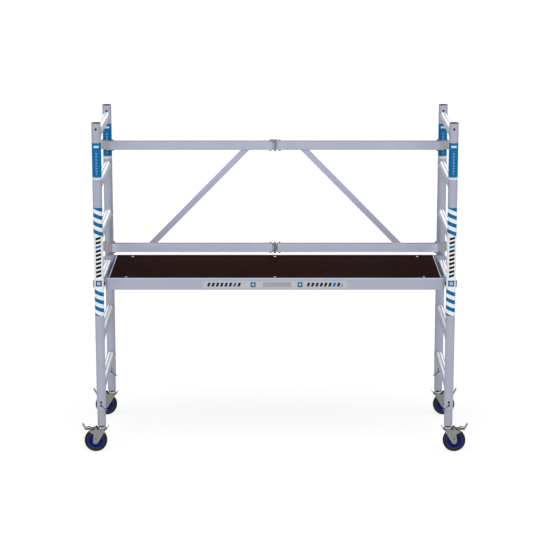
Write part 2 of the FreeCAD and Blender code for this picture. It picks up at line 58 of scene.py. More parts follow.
# --- posts, legs and rungs, as in the CAD part ---
POST_X = 0.950
POST_Y = 0.350
POST_R = 0.025
LEG_R = 0.0228
INSIDE_R = LEG_R - 0.0004  # what is nearer to a post's axis than this is inside its tube
SPARE_HOLES_Z = (0.283, 1.787)
# painted shade: the dark ring round each spare hole reaches this far from its axis
HOLE_SHADE_R = 0.0064
RUNG_R = 0.024
RUNG_ZS = [0.360 + 0.279 * i for i in range(6)]
HIGHLIGHT_FACES_UP = 0.83  # the faces of a rung with the painted highlight look up at least this steeply
HIGHLIGHT_GAP = 0.12  # and lean sideways at least this much, clear of a strip along the top that keeps the rung's own look

# --- stickers on the posts: heights of their lower and upper edges ---
STICKER_THICK = 0.00018
STICKER_LIFT = 0.00002
STICKER_HALF_ANGLE = math.radians(104)
STICKER_STEPS = 40
BLUE_BAND_Z = (1.530, 1.713)
WHITE_LINE_Z = (1.517, 1.524)
LONG_BAND_Z = (0.770, 1.364)

# --- the long band's print ---
PLAIN_Z = (0.9065, 1.205)  # its middle part, which has no stripes
UPPER_STRIPES_START = 1.3715
LOWER_STRIPES_START = 0.9065
STRIPE_CHANGE_Z = 1.06
STRIPE_PITCH = 0.0442
STRIPE_SLANT = 0.42
BARS_X = (-0.0135, 0.0155)
BARS_Z = (0.984, 1.2033)
BAR_PITCH = 0.0228
BAR_SHARE = 0.62
BAR_SLANT = 0.3
BLUE_BAR_Z = (1.140, 1.161)
BADGE_Z = 0.949
BADGE_HALF, BADGE_HEART_HALF = 0.0170, 0.0085

# --- the blue band's print ---
BLOCK_X = (-0.014, 0.014)
BLOCK_Z = (1.688, 1.699)
MARKS_X = (-0.0045, 0.0045)
MARKS_Z = (1.545, 1.668)
MARK_PITCH = 0.0155

# --- platform ---
BEAM_FACE_Y = 0.2935
BEAM_END_X = 0.912
# outlines: the bead's as (out of the beam's face, height), the shadow strip's as (from the middle, height),
# and a rivet's as (radius, height)
BEAM_BEAD = (
    (0.0, 0.9570), (0.0010, 0.9573), (0.0014, 0.9585), (0.0014, 0.9606), (0.0010, 0.9616), (0.0, 0.9618),
)
DECK_END_X = 0.900
DECK_SHADOW_STRIP = (
    (0.2788, 0.96062), (0.2788, 0.9611), (0.2832, 0.9636), (0.2940, 0.9640), (0.2946, 0.9634),
    (0.2946, 0.9620), (0.29365, 0.9620), (0.29365, 0.96315), (0.2843, 0.96315), (0.2843, 0.96062),
)
RIVET_X, RIVET_Y = 0.810, 0.265
RIVET_DOME = ((0.0070, 0.9604), (0.0070, 0.9611), (0.0064, 0.9619), (0.0050, 0.9627), (0.0028, 0.9632))

# --- plate on the front beam, and its print ---
PLATE_X = 0.391
PLATE_Z = (0.9035, 0.9455)
PLATE_CORNER_R = 0.004
PLATE_CORNER_STEPS = 5
PLATE_ROWS_X = ((-0.368, -0.180), (0.174, 0.366))
PLATE_BLUE_BARS_X = ((-0.2275, -0.204), (0.315, 0.338))
PLATE_BARS_UP = (-0.0105, 0.0115)
PLATE_BAR_PITCH = 0.0235
PLATE_BAR_GAP = 0.42  # the share of the pitch that stays silver
PLATE_BAR_SLANT = 0.35
PLATE_BLOCK_X = (-0.066, 0.088)
PLATE_BLOCK_UP = (-0.0135, 0.0135)
PLATE_BADGES_X = (-0.119, 0.136)
PLATE_BADGE_HALF, PLATE_BADGE_HEART_HALF = 0.0135, 0.0065

# --- welds ---
ASIDE = Vector((0.13, 0.29, 0.95))  # a direction that no bead or coil runs along
BEAD_RIPPLE, BEAD_SPREAD = 0.10, 0.05
BEAD_SIDES = 8
BEAD_OFF_RUNG, BEAD_OFF_POST = 0.0006, 0.0004
RUNG_BEAD_R, BRACE_BEAD_R, CLAW_BEAD_R = 0.0021, 0.0016, 0.0013
RUNG_BEAD_STEPS = 112
DROP_PITCH = 0.0011
BRACE_END_WIDE = 0.0449  # a diagonal's end, along its rail
MEMBER_END_Y = 0.2585
DECK_MEMBERS = [(x, 0.030, 0.9095, 0.9475) for x in (-0.450, 0.0, 0.450)]  # x, width, bottom, top
END_MEMBERS = [(x, 0.040, 0.8995, 0.9475) for x in (-0.899, 0.899)]
CLAW_WELD_YS = (0.260, 0.292)
CLAW_WELD_Z = (0.8985, 0.9605)

# --- wheels and casters ---
WHEEL_R = 0.0625
TRAIL = 0.034
WHEEL_STEPS, CUP_STEPS, SMALL_STEPS = 96, 64, 20  # in the circles of each
RIBS = 10
RIB_HALF_WIDE, RIB_TAPER, RIB_ROOT = 0.0011, 0.7, 0.0040
RIB_PROFILE = ((0.0158, 0.0150), (0.0275, 0.0100), (0.0392, 0.0120))  # radius, height over the web
HUB_RIM_FADE = (0.034, 0.043)  # where the hub's colour turns into its rim's
PLUG_Z = 0.0740
PLUG = ((0.0023, 0.0225), (0.0023, 0.0242), (0.0034, 0.0242), (0.0034, 0.0247), (0.0020, 0.0252))
SPRING_OUT, SPRING_Z = 0.032, 0.131
SPRING_R, SPRING_WIRE_R = 0.0066, 0.0011
SPRING_TURNS, SPRING_STEPS = 5, 14
SPRING_START, SPRING_PITCH = 0.0095, 0.00216
SPRING_TAIL = (0.012, -0.0015)

# --- die lines on drawn tube: how fine they are along and across it ---
ALONG_GRAIN, ACROSS_GRAIN = 2.2, 420.0

# --- colours, linear ---
ALUMINIUM = (0.345, 0.365, 0.44)
CAST = (0.29, 0.28, 0.30)
ZINC = (0.21, 0.205, 0.195)
DARK_STEEL = (0.045, 0.045, 0.048)
POLISHED = (0.74, 0.77, 0.84)
# painted highlight: the colour of the two pale streaks along each rung's top
PAINTED_HIGHLIGHT = (0.93, 0.95, 1.0)
EDGE_TINT = (0.45, 0.45, 0.50)  # of light that glances off bare metal
WHITE = (1.0, 1.0, 1.0)
TOP_SHADE = 0.24  # painted shade: how bright an upward face is, beside the rest of the metal
PLY_FILM = (0.0114, 0.0040, 0.0031)
RUBBER = (0.0115, 0.0115, 0.0115)
HUB_BLUE = (0.003, 0.006, 0.125)
HUB_RIM = (0.009, 0.028, 0.125)
# black plastic, also painted shade in the swivel heads
BLACK_PLASTIC_AND_SHADE = (0.008, 0.0085, 0.0095)
BLUE_PRINT = (0.002, 0.096, 0.250)
PALE_PRINT = (0.10, 0.26, 0.47)
BLOCK_PRINT = (0.45, 0.51, 0.56)
WHITE_PRINT = (0.565, 0.58, 0.585)
SILVER_PRINT = (0.33, 0.34, 0.35)
# dark print, also the painted shade inside the posts and round their spare holes
DARK_PRINT_AND_SHADE = (0.010, 0.011, 0.014)

# --- studio ---
FLOOR_REACH = 150.0
FLOOR_GREY = (0.18, 0.18, 0.181)
FLOOR_GLOW, FLOOR_GLOW_MIRRORED = 0.80, 0.22
FAR_FLOOR_Y = (0.8, 2.0)  # between these the floor behind the object turns dim to a mirror
SKY = ((0.0, 1.35), (0.18, 1.30), (0.225, 0.15), (0.50, 0.14), (0.75, 0.60), (1.0, 0.60))  # height, level
SKY_TINT = (0.98, 0.99, 1.0)
FRONT_SKY = (1.30, 1.31, 1.34)
SKY_TURNS_Y = (-0.1, 0.35)  # from the front's light to the back's


# ------------------------------------------------------------------ shader helpers
def add_node(tree, kind, links=None, values=None, **settings):
    """A shader node with its settings, and its sockets' values and links."""
    made = tree.nodes.new("ShaderNode" + kind)
    for key, value in settings.items():
        setattr(made, key, value)
    for key, value in (values or {}).items():
        made.inputs[key].default_value = value
    for key, source in (links or {}).items():
        tree.links.new(source, made.inputs[key])
    return made


class Look:
    """One material's node tree, with short calls for the nodes that it needs."""

    def __init__(self, name, metallic=0.0, **constants):
        self.material = bpy.data.materials.new(name)
        self.material.use_nodes = True
        self.tree = self.material.node_tree
        self.shader = self.tree.nodes["Principled BSDF"]
        self.place = self.make("TexCoord").outputs["Object"]
        self.shader.inputs["Metallic"].default_value = metallic
        for socket, value in constants.items():
            self.shader.inputs[socket.replace("_", " ")].default_value = value

    def make(self, kind, links=None, values=None, **settings):
        return add_node(self.tree, kind, links, values, **settings)

    def scaled(self, scale, turn=(0, 0, 0)):
        links = {"Vector": self.place}
        made = self.make("Mapping", links, {"Scale": scale, "Rotation": turn})
        return made.outputs["Vector"]

    def noise(self, scale, detail=3.0, stretch=None, turn=(0, 0, 0), rough=0.55):
        where = self.scaled(stretch, turn) if stretch else self.place
        values = {"Scale": scale, "Detail": detail, "Roughness": rough}
        return self.make("TexNoise", {"Vector": where}, values).outputs["Fac"]

    def math(self, operation, a, b=0.0, c=0.0):
        made = self.tree.nodes.new("ShaderNodeMath")
        made.operation = operation
        for socket, value in zip(made.inputs, (a, b, c)):
            if isinstance(value, (int, float)):
                socket.default_value = value
            else:
                self.tree.links.new(value, socket)
        return made.outputs[0]

    def ramp(self, source, low, high, start=0.0, end=1.0):
        values = {"From Min": start, "From Max": end, "To Min": low, "To Max": high}
        return self.make("MapRange", {"Value": source}, values, clamp=True).outputs["Result"]

    def mix(self, share, a, b):
        """Mix two colours, each given as numbers or as a socket."""
        made = self.tree.nodes.new("ShaderNodeMix")
        made.data_type = "RGBA"
        for socket, value in ((made.inputs[0], share), (made.inputs[6], a), (made.inputs[7], b)):
            if isinstance(value, tuple):
                socket.default_value = (*value, 1.0)
            elif isinstance(value, float):
                socket.default_value = value
            else:
                self.tree.links.new(value, socket)
        return made.outputs[2]

    def cycle(self, value, pitch):
        """From nought to one over each pitch of the value."""
        return self.math("FRACT", self.math("MULTIPLY", value, 1.0 / pitch))

    def axes(self):
        return self.make("SeparateXYZ", {"Vector": self.place}).outputs

    def between(self, value, low, high):
        """One where the value lies between the two numbers."""
        above = self.math("GREATER_THAN", value, low)
        return self.math("MULTIPLY", above, self.math("LESS_THAN", value, high))

    def shade_in_posts(self):
        """One inside the posts' tubes, and in a ring round each spare hole: where painted shade goes."""
        x, y, z = self.axes()
        from_x = self.math("SUBTRACT", self.math("ABSOLUTE", x), POST_X)
        from_y = self.math("SUBTRACT", self.math("ABSOLUTE", y), POST_Y)
        inside = self.math("LESS_THAN", self.distance(from_x, from_y), INSIDE_R)
        for height in SPARE_HOLES_Z:
            from_hole = self.distance(from_x, self.math("SUBTRACT", z, height))
            inside = self.math("MAXIMUM", inside, self.math("LESS_THAN", from_hole, HOLE_SHADE_R))
        return inside

    def distance(self, a, b):
        squares = self.math("ADD", self.math("POWER", a, 2.0), self.math("POWER", b, 2.0))
        return self.math("SQRT", squares)

    def facing_up(self):
        normal = self.make("NewGeometry").outputs["Normal"]
        return self.make("SeparateXYZ", {"Vector": normal}).outputs["Z"]

    def grain_along(self, direction):
        """Spread the gloss across the grain, as fine die lines do."""
        normal = self.make("NewGeometry").outputs["Normal"]
        values = {1: direction}
        across = self.make("VectorMath", {0: normal}, values, operation="CROSS_PRODUCT")
        self.tree.links.new(across.outputs["Vector"], self.shader.inputs["Tangent"])

    def bump(self, height, strength, distance, under=None):
        links = {"Height": height}
        if under is not None:
            links["Normal"] = under
        values = {"Strength": strength, "Distance": distance}
        return self.make("Bump", links, values).outputs["Normal"]

    def finish(self, colour=None, roughness=None, normal=None):
        for socket, source in (("Base Color", colour), ("Roughness", roughness), ("Normal", normal)):
            if source is not None:
                self.tree.links.new(source, self.shader.inputs[socket])
        return self.material


def shade(colour, factor):
    """The colour, darker or lighter by a factor."""
    return tuple(min(1.0, c * factor) for c in colour)


# ------------------------------------------------------------------ materials
def drawn_aluminium(name, grain, colour=ALUMINIUM, metallic=0.62, rough=0.42,
                    upright=False, edge=EDGE_TINT):
    """Extruded tube: die lines along its grain, cloudy oxide and a few handling scratches.

    The inside of an upright tube and a ring round each spare hole get painted shade, near black.
    Others get painted shade on their tops, apart from those with a white edge tint.
    """
    look = Look(name, metallic, Anisotropic=0.8, Specular_IOR_Level=0.3)
    look.shader.inputs["Specular Tint"].default_value = (*edge, 1)
    stretch = tuple(ALONG_GRAIN if g else ACROSS_GRAIN for g in grain)
    lines = look.noise(1.0, 4.0, stretch)
    fine = look.noise(1.0, 2.0, tuple(s * 3.1 for s in stretch))
    cloud = look.noise(7.0, 4.0)
    smudge = look.noise(31.0, 5.0, rough=0.7)
    scratch = look.noise(1.0, 1.0, (75, 90, 620), (0.5, 0.3, 0.2))
    scratch = look.ramp(scratch, 0.0, 1.0, 0.70, 0.76)
    tone = look.mix(look.ramp(cloud, 0.0, 1.0, 0.3, 0.7), shade(colour, 0.97), shade(colour, 1.03))
    tone = look.mix(look.ramp(lines, 0.0, 0.25, 0.35, 0.75), tone, shade(colour, 0.86))
    tone = look.mix(look.ramp(scratch, 0.0, 0.25), tone, shade(colour, 1.3))
    if upright:
        # painted shade, near black, inside the upright tubes and round their spare holes
        tone = look.mix(look.shade_in_posts(), tone, DARK_PRINT_AND_SHADE)
    elif edge is EDGE_TINT:
        # painted shade on upward faces, darker the more steeply they face up
        tone = look.mix(look.ramp(look.facing_up(), 0.0, 1.0, 0.7, 0.95), tone, shade(colour, TOP_SHADE))
    streaked = look.ramp(lines, rough - 0.05, rough + 0.05, 0.3, 0.7)
    rough = look.math("ADD", streaked, look.ramp(smudge, -0.03, 0.06, 0.3, 0.8))
    look.grain_along(grain)
    under = look.bump(lines, 0.12, 0.0003)
    return look.finish(tone, rough, look.bump(fine, 0.06, 0.0001, under))


def cast_aluminium(name, colour):
    """Tumbled sand casting: a fine pebbled skin, duller than the drawn tube."""
    look = Look(name, metallic=0.6)
    grit = look.noise(900.0, 3.0)
    lump = look.noise(160.0, 4.0)
    cloud = look.noise(22.0, 3.0)
    tone = look.mix(look.ramp(cloud, 0.0, 1.0, 0.3, 0.7), shade(colour, 0.93), shade(colour, 1.08))
    tone = look.mix(look.ramp(grit, 0.0, 0.3, 0.55, 0.8), tone, shade(colour, 0.6))
    rough = look.ramp(lump, 0.42, 0.58, 0.3, 0.7)
    under = look.bump(lump, 0.35, 0.0006)
    return look.finish(tone, rough, look.bump(grit, 0.3, 0.00015, under))


def plated_steel(name, colour, tinted, shaded_band=None):
    """Zinc plated steel: faint spangle, a yellowish passivated tint in places, dark in the pits.

    Between the two heights in shaded_band it is black: painted shade.
    """
    look = Look(name, metallic=0.85)
    cells = look.make("TexVoronoi", {"Vector": look.place}, {"Scale": 260.0}).outputs["Color"]
    spangle = look.make("SeparateColor", {"Color": cells}).outputs["Red"]
    tint = look.noise(45.0, 3.0)
    pits = look.noise(700.0, 2.0)
    tone = look.mix(look.ramp(spangle, 0.0, 1.0), shade(colour, 0.88), shade(colour, 1.12))
    tone = look.mix(look.ramp(tint, 0.0, tinted, 0.45, 0.75), tone, (0.36, 0.32, 0.21))
    tone = look.mix(look.ramp(pits, 0.0, 0.6, 0.66, 0.8), tone, (0.09, 0.085, 0.08))
    if shaded_band:
        tone = look.mix(look.between(look.axes()[2], *shaded_band), tone, BLACK_PLASTIC_AND_SHADE)
    rough = look.math("ADD", look.ramp(spangle, 0.28, 0.38), look.ramp(tint, 0.0, 0.12, 0.4, 0.8))
    return look.finish(tone, rough, look.bump(pits, 0.2, 0.0001))


def moulded(name, colour, rough, grain, gloss=0.2, rim=None):
    """Moulded plastic: a fine spark-eroded grain, slightly uneven gloss and dusty high spots.

    A wheel's hub can turn to another, greener colour towards its rim.
    """
    look = Look(name, Specular_IOR_Level=gloss)
    texture = look.noise(grain, 2.0)
    cloud = look.noise(30.0, 4.0)
    dust = look.noise(95.0, 5.0, rough=0.7)
    tone = look.mix(look.ramp(cloud, 0.0, 1.0, 0.3, 0.7), shade(colour, 0.85), shade(colour, 1.2))
    pale = tuple(0.8 * c + 0.012 for c in colour)
    tone = look.mix(look.ramp(dust, 0.0, 0.5, 0.58, 0.8), tone, pale)
    if rim:
        x, _, z = look.axes()
        from_x = look.math("SUBTRACT", look.math("ABSOLUTE", x), POST_X + TRAIL)
        reach = look.distance(from_x, look.math("SUBTRACT", z, WHEEL_R))
        tone = look.mix(look.ramp(reach, 0.0, 1.0, *HUB_RIM_FADE), tone, rim)
    sheen = look.ramp(texture, rough - 0.05, rough + 0.05)
    sheen = look.math("ADD", sheen, look.ramp(dust, 0.0, 0.15, 0.5, 0.8))
    return look.finish(tone, sheen, look.bump(texture, 0.25, 0.00012))


def film_faced_ply():
    """Dark phenolic film with the fine wire-mesh print of an anti-slip deck, scuffed by boots."""
    look = Look("film_faced_ply", Specular_IOR_Level=0.004)
    x, y, _ = look.axes()
    pitch = 0.0042

    def wires(across):
        """One set of the mesh's thin ridges."""
        wave = look.math("PINGPONG", look.math("MULTIPLY", across, 1.0 / pitch), 0.5)
        return look.ramp(wave, 1.0, 0.0, 0.0, 0.16)

    mesh = look.math("MAXIMUM", wires(look.math("ADD", x, y)), wires(look.math("SUBTRACT", x, y)))
    cloud = look.noise(3.2, 5.0, (1.0, 2.2, 1.0))
    scuff = look.noise(1.0, 5.0, (16, 48, 30), (0, 0, 0.25), rough=0.72)
    speck = look.noise(420.0, 2.0)
    tone = look.mix(look.ramp(cloud, 0.0, 1.0, 0.3, 0.7), shade(PLY_FILM, 0.8), shade(PLY_FILM, 1.3))
    tone = look.mix(look.ramp(speck, 0.0, 0.4, 0.62, 0.8), tone, shade(PLY_FILM, 2.0))
    tone = look.mix(look.ramp(mesh, 0.0, 0.4), tone, shade(PLY_FILM, 1.7))
    tone = look.mix(look.ramp(scuff, 0.0, 0.4, 0.6, 0.85), tone, (0.045, 0.032, 0.028))
    rough = look.math("ADD", look.ramp(cloud, 0.50, 0.62, 0.3, 0.7), look.ramp(scuff, 0.0, 0.15, 0.5, 0.8))
    under = look.bump(mesh, 0.5, 0.0004)
    return look.finish(tone, rough, look.bump(speck, 0.2, 0.0001, under))


def tyre_rubber():
    """Grey-black rubber, with patches of dust and a fine moulded grain."""
    look = Look("tyre_rubber", Specular_IOR_Level=0.12)
    grain = look.noise(800.0, 3.0)
    cloud = look.noise(28.0, 5.0, rough=0.65)
    scuff = look.noise(120.0, 4.0, rough=0.7)
    tone = look.mix(look.ramp(cloud, 0.0, 1.0, 0.3, 0.7), shade(RUBBER, 0.75), shade(RUBBER, 1.5))
    tone = look.mix(look.ramp(scuff, 0.0, 0.45, 0.55, 0.8), tone, (0.052, 0.05, 0.046))
    return look.finish(tone, look.ramp(cloud, 0.6, 0.82, 0.3, 0.7), look.bump(grain, 0.3, 0.0002))


def vinyl(name, print_on):
    """A printed sticker, slightly rippled where it was rubbed down, with grime on the print."""
    look = Look(name, Specular_IOR_Level=0.05, Coat_Weight=0.03, Coat_Roughness=0.2)
    ripple = look.noise(48.0, 2.0)
    grime = look.noise(70.0, 6.0, rough=0.75)
    tone = print_on(look)
    tone = look.mix(look.ramp(grime, 0.0, 0.16, 0.6, 0.85), tone, (0.09, 0.10, 0.12))
    return look.finish(tone, look.ramp(grime, 0.34, 0.5, 0.4, 0.8), look.bump(ripple, 0.15, 0.0002))


def stripes(look, across, z, start):
    """Slanting blue stripes on white, the first one starting at a height."""
    height = look.math("ADD", look.math("SUBTRACT", z, start), look.math("MULTIPLY", across, STRIPE_SLANT))
    wave = look.cycle(height, STRIPE_PITCH)
    return look.mix(look.math("GREATER_THAN", wave, 0.5), WHITE_PRINT, BLUE_PRINT)


def across_post(look, x):
    """How far a place is from the middle of its post, along X."""
    return look.math("SUBTRACT", x, look.math("MULTIPLY", look.math("SIGN", x), POST_X))


def badge(look, tone, across, up, halves, colour):
    """A square of a colour with a silver heart, on top of a tone."""
    reach = look.math("MAXIMUM", look.math("ABSOLUTE", across), look.math("ABSOLUTE", up))
    tone = look.mix(look.math("LESS_THAN", reach, halves[0]), tone, colour)
    return look.mix(look.math("LESS_THAN", reach, halves[1]), tone, SILVER_PRINT)


def print_long_band(look):
    """Stripes above and below a plain white part with a column of bars and a square badge."""
    x, _, z = look.axes()
    across = across_post(look, x)
    upper = stripes(look, across, z, UPPER_STRIPES_START)
    lower = stripes(look, across, z, LOWER_STRIPES_START)
    tone = look.mix(look.math("GREATER_THAN", z, STRIPE_CHANGE_Z), lower, upper)
    level = look.math("ADD", z, look.math("MULTIPLY", across, STRIPE_SLANT))
    tone = look.mix(look.between(level, *PLAIN_Z), tone, WHITE_PRINT)
    slanted = look.math("SUBTRACT", z, look.math("MULTIPLY", across, BAR_SLANT))
    wave = look.cycle(look.math("SUBTRACT", slanted, BARS_Z[0]), BAR_PITCH)
    bars = look.math("MULTIPLY", look.math("LESS_THAN", wave, BAR_SHARE), look.between(across, *BARS_X))
    bars = look.math("MULTIPLY", bars, look.between(slanted, *BARS_Z))
    bar_tone = look.mix(look.between(slanted, *BLUE_BAR_Z), DARK_PRINT_AND_SHADE, BLUE_PRINT)
    tone = look.mix(bars, tone, bar_tone)
    up = look.math("SUBTRACT", z, BADGE_Z)
    return badge(look, tone, across, up, (BADGE_HALF, BADGE_HEART_HALF), BLUE_PRINT)


def print_blue_band(look):
    """Plain blue, with a white block at the top and a column of pale marks."""
    x, _, z = look.axes()
    across = across_post(look, x)
    block = look.math("MULTIPLY", look.between(across, *BLOCK_X), look.between(z, *BLOCK_Z))
    tone = look.mix(block, BLUE_PRINT, BLOCK_PRINT)
    wave = look.cycle(z, MARK_PITCH)
    marks = look.math("MULTIPLY", look.math("GREATER_THAN", wave, 0.5), look.between(across, *MARKS_X))
    marks = look.math("MULTIPLY", marks, look.between(z, *MARKS_Z))
    return look.mix(marks, tone, PALE_PRINT)


def print_beam_plate(look):
    """Silver, with two rows of dark bars, two square badges and a grey block between them."""
    x, _, z = look.axes()
    up = look.math("SUBTRACT", z, sum(PLATE_Z) / 2)
    slanted = look.math("SUBTRACT", x, look.math("MULTIPLY", up, PLATE_BAR_SLANT))
    wave = look.cycle(slanted, PLATE_BAR_PITCH)
    left_row, right_row = (look.between(x, *row) for row in PLATE_ROWS_X)
    bars = look.math("MULTIPLY", look.math("GREATER_THAN", wave, PLATE_BAR_GAP),
                     look.math("ADD", left_row, right_row))
    bars = look.math("MULTIPLY", bars, look.between(up, *PLATE_BARS_UP))
    tone = look.mix(bars, SILVER_PRINT, DARK_PRINT_AND_SHADE)
    left_blue, right_blue = (look.between(x, *bar) for bar in PLATE_BLUE_BARS_X)
    blue = look.math("MULTIPLY", bars, look.math("ADD", left_blue, right_blue))
    tone = look.mix(blue, tone, BLUE_PRINT)
    block = look.math("MULTIPLY", look.between(x, *PLATE_BLOCK_X), look.between(up, *PLATE_BLOCK_UP))
    tone = look.mix(block, tone, shade(SILVER_PRINT, 0.72))
    halves = (PLATE_BADGE_HALF, PLATE_BADGE_HEART_HALF)
    for centre in PLATE_BADGES_X:
        across = look.math("SUBTRACT", x, centre)
        tone = badge(look, tone, across, up, halves, shade(BLUE_PRINT, 0.5))
    return tone


def weld_metal():
    """Bright beads, sooty in places."""
    look = Look("weld_metal", metallic=0.85)
    grit = look.noise(600.0, 4.0)
    soot = look.noise(80.0, 3.0)
    tone = look.mix(look.ramp(soot, 0.0, 1.0, 0.35, 0.7), shade(ALUMINIUM, 0.75), shade(ALUMINIUM, 1.05))
    return look.finish(tone, look.ramp(grit, 0.35, 0.6, 0.3, 0.7), look.bump(grit, 0.3, 0.0002))


LOOKS = {
    "tube_x": drawn_aluminium("drawn_aluminium_x", (1, 0, 0)),
    # painted light: the lower rails are paler, making up for the deck's shade and dark reflection on them
    "lit_low_rail": drawn_aluminium("low_rail_aluminium", (1, 0, 0), shade(ALUMINIUM, 1.40)),
    "beam": drawn_aluminium("beam_aluminium", (1, 0, 0), shade(ALUMINIUM, 0.86)),
    "tube_y": drawn_aluminium("drawn_aluminium_y", (0, 1, 0)),
    "rung": drawn_aluminium("rung_aluminium", (0, 1, 0), shade(ALUMINIUM, 0.92), edge=WHITE),
    # painted highlight: two pale streaks along each rung's top
    "highlight_rung": drawn_aluminium("highlight_rung", (0, 1, 0), PAINTED_HIGHLIGHT, metallic=0.2, rough=0.3, edge=WHITE),
    "tube_z": drawn_aluminium("drawn_aluminium_z", (0, 0, 1), upright=True),
    "leg": drawn_aluminium("leg_aluminium", (0, 0, 1), shade(ALUMINIUM, 0.88), upright=True),
    # painted highlight: paler aluminium for the front beam's bead
    "edge": drawn_aluminium("highlight_edge", (1, 0, 0), shade(ALUMINIUM, 1.4), rough=0.3, edge=WHITE),
    "trim": drawn_aluminium("bright_trim", (0, 1, 0), POLISHED, rough=0.3, edge=WHITE),
    "cast": cast_aluminium("cast_aluminium", CAST),
    # painted shade: darker cast aluminium for the claws, for the shade round them; the hinges share it
    "claw": cast_aluminium("shaded_claw_aluminium", shade(ALUMINIUM, 0.76)),
    "rivet": plated_steel("rivet_aluminium", (0.72, 0.73, 0.75), 0.0),
    "zinc": plated_steel("zinc_plate", ZINC, 0.25),
    "bolt": plated_steel("bright_zinc", (0.24, 0.25, 0.28), 0.08),
    # painted highlight and shade: very pale zinc for the flange's bright top, black between two heights for
    # the shade in the gap under the leg
    "head": plated_steel("swivel_highlight_and_shade", (0.85, 0.86, 0.88), 0.05, shaded_band=(0.1372, 0.1445)),
    "brass": plated_steel("dark_brass", (0.06, 0.042, 0.025), 0.0),
    "wire": plated_steel("spring_wire", (0.09, 0.09, 0.10), 0.0),
    "spring": plated_steel("spring_steel", DARK_STEEL, 0.05),
    # black plastic for the post caps, also the painted shadow strips along the deck's edges
    "cap": moulded("black_plastic", BLACK_PLASTIC_AND_SHADE, 0.5, 600.0, gloss=0.03),
    "hub": moulded("blue_plastic", HUB_BLUE, 0.4, 500.0, gloss=0.12, rim=HUB_RIM),
    "deck": film_faced_ply(),
    "tyre": tyre_rubber(),
    "blue_band": vinyl("blue_vinyl", print_blue_band),
    "white": vinyl("white_vinyl", lambda look: WHITE_PRINT),
    "long_band": vinyl("striped_vinyl", print_long_band),
    "plate": vinyl("silver_vinyl", print_beam_plate),
    "weld": weld_metal(),
}


# ------------------------------------------------------------------ mesh helpers
def add_to_scene(name, data):
    """An object for a mesh, a light or a camera."""
    made = bpy.data.objects.new(name, data)
    bpy.context.collection.objects.link(made)
    return made


def add_piece(bm, name, sharp, body, look):
    """Turn a mesh into a piece on a body, smooth but for the edges sharper than an angle."""
    bmesh.ops.recalc_face_normals(bm, faces=bm.faces)
    mesh = bpy.data.meshes.new(name)
    bm.to_mesh(mesh)
    bm.free()
    for face in mesh.polygons:
        face.use_smooth = True
    mesh.set_sharp_from_angle(angle=math.radians(sharp))
    mesh.materials.append(LOOKS[look])
    made = add_to_scene(name, mesh)
    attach(made, body)
    return made


def around(steps):
    """The cosine and sine of each of some equal steps round a circle."""
    turns = [math.tau * i / steps for i in range(steps)]
    return [(math.cos(turn), math.sin(turn)) for turn in turns]


def loft(bm, rings, closed=False):
    """Faces between rings of points. The first and last rings are capped unless closed."""
    rows = [[bm.verts.new(p) for p in ring] for ring in rings]
    pairs = list(zip(rows, rows[1:])) + ([(rows[-1], rows[0])] if closed else [])
    for a, b in pairs:
        for i in range(len(a)):
            j = (i + 1) % len(a)
            bm.faces.new((a[i], a[j], b[j], b[i]))
    if not closed:
        bm.faces.new(rows[0])
        bm.faces.new(list(reversed(rows[-1])))


def drawn_along_x(outline, reach):
    """A closed outline of (y, height) points, drawn from one end to the other."""
    bm = bmesh.new()
    loft(bm, [[Vector((x, y, z)) for y, z in outline] for x in (-reach, reach)])
    return bm


def tube_along(bm, points, radii, closed=True):
    """A round tube along points, each with its own radius."""
    count = len(points)
    rings = []
    for i, point in enumerate(points):
        before = points[(i - 1) % count] if closed or i else point
        after = points[(i + 1) % count] if closed or i < count - 1 else point
        ahead = (after - before).normalized()
        side = ahead.cross(ASIDE).normalized()
        up = side.cross(ahead)
        rings.append([point + (side * c + up * s) * radii[i] for c, s in around(BEAD_SIDES)])
    loft(bm, rings, closed)


# ------------------------------------------------------------------ CAD nodes
NODE_LOOKS = (
    ("_post", "tube_z"), ("_rungs", "rung"), ("_caps", "cap"), ("_legs", "leg"),
    ("_rail", "tube_x"), ("lower_rail", "lit_low_rail"), ("_brace", "tube_x"), ("_collars", "cast"),
    ("_fasteners", "bolt"), ("_hinge", "claw"), ("_pins", "bolt"), ("_latch", "bolt"),
    ("_deck", "deck"), ("_beam", "beam"), ("_end_beams", "tube_y"), ("_bars", "tube_y"),
    ("_claws", "claw"), ("_trims", "trim"), ("_rivets", "rivet"), ("_clip", "wire"),
    ("_head", "head"), ("_fork", "zinc"), ("_pedal", "zinc"), ("_axle", "zinc"),
    ("_hub", "hub"), ("_tyre", "tyre"),
)


def look_for(node):
    """The look of the last ending in the list that fits the node's name."""
    return [look for ending, look in NODE_LOOKS if node.endswith(ending)][-1]


def dress_cad_nodes():
    """A look on each node. The top of each rung gets a pale, less metallic look on both sides of a strip
    along its top: a painted highlight in two streaks.
    """
    for name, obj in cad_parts.items():
        obj.data.materials.clear()
        obj.data.materials.append(LOOKS[look_for(name)])
        if name.endswith("_rungs"):
            # painted highlight on the rungs' upward faces, on both sides of the top
            obj.data.materials.append(LOOKS["highlight_rung"])
            for face in obj.data.polygons:
                if face.normal.z > HIGHLIGHT_FACES_UP and abs(face.normal.x) > HIGHLIGHT_GAP:
                    face.material_index = 1


